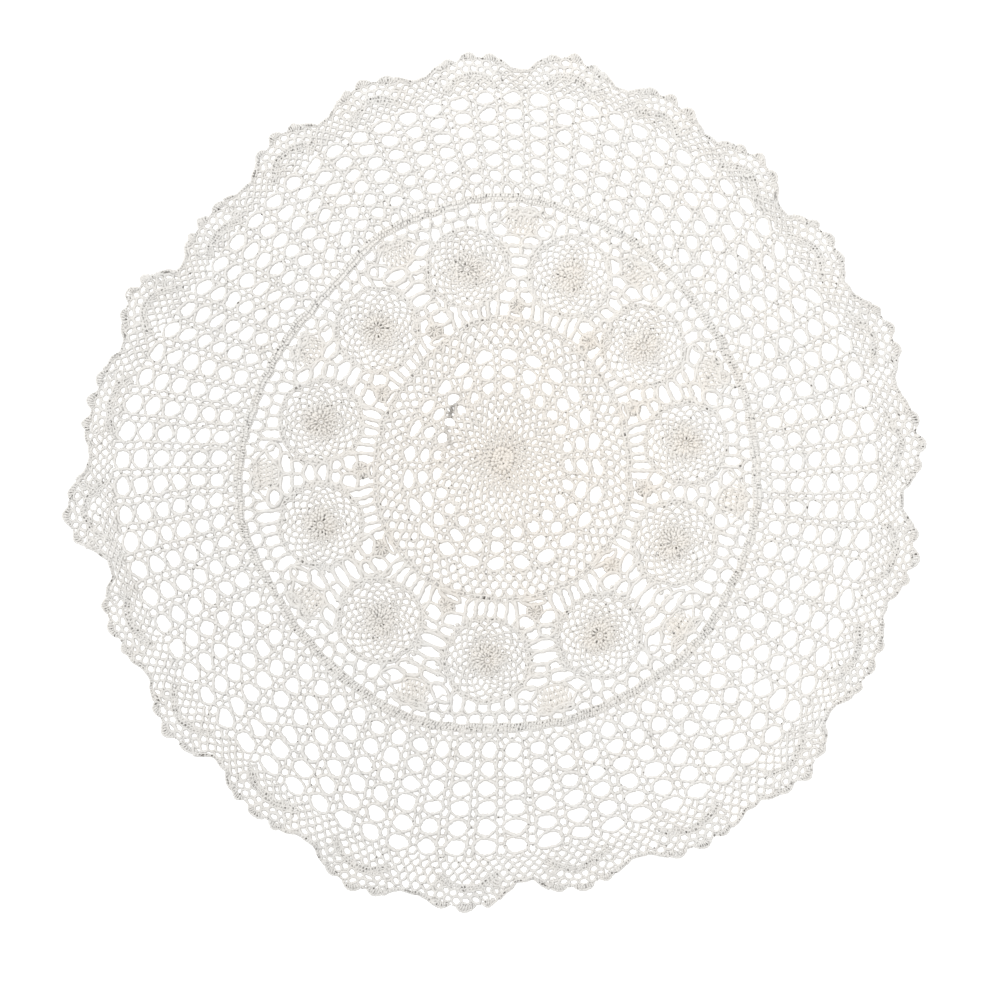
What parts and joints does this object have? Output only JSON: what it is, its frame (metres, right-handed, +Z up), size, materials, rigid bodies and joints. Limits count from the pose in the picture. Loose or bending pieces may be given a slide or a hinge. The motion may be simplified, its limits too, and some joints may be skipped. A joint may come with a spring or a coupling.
{
  "type": "lace doily",
  "caption": "Round openwork lace doily of white cotton thread with a medallion, wheels, a braid, a net and a scalloped rim, lying flat.",
  "frame": {"origin": "on the underside, in the middle of the net, inside the medallion's heart", "axes": "+Z up from the underside, +Y towards the edge that is at the top of the picture, +X towards its right edge"},
  "size_m": [0.5172, 0.5156, 0.0069],
  "materials": {
    "cotton": "matte thread work"
  },
  "bodies": {
    "root": {"doily": "cotton"}
  },
  "joints": []
}
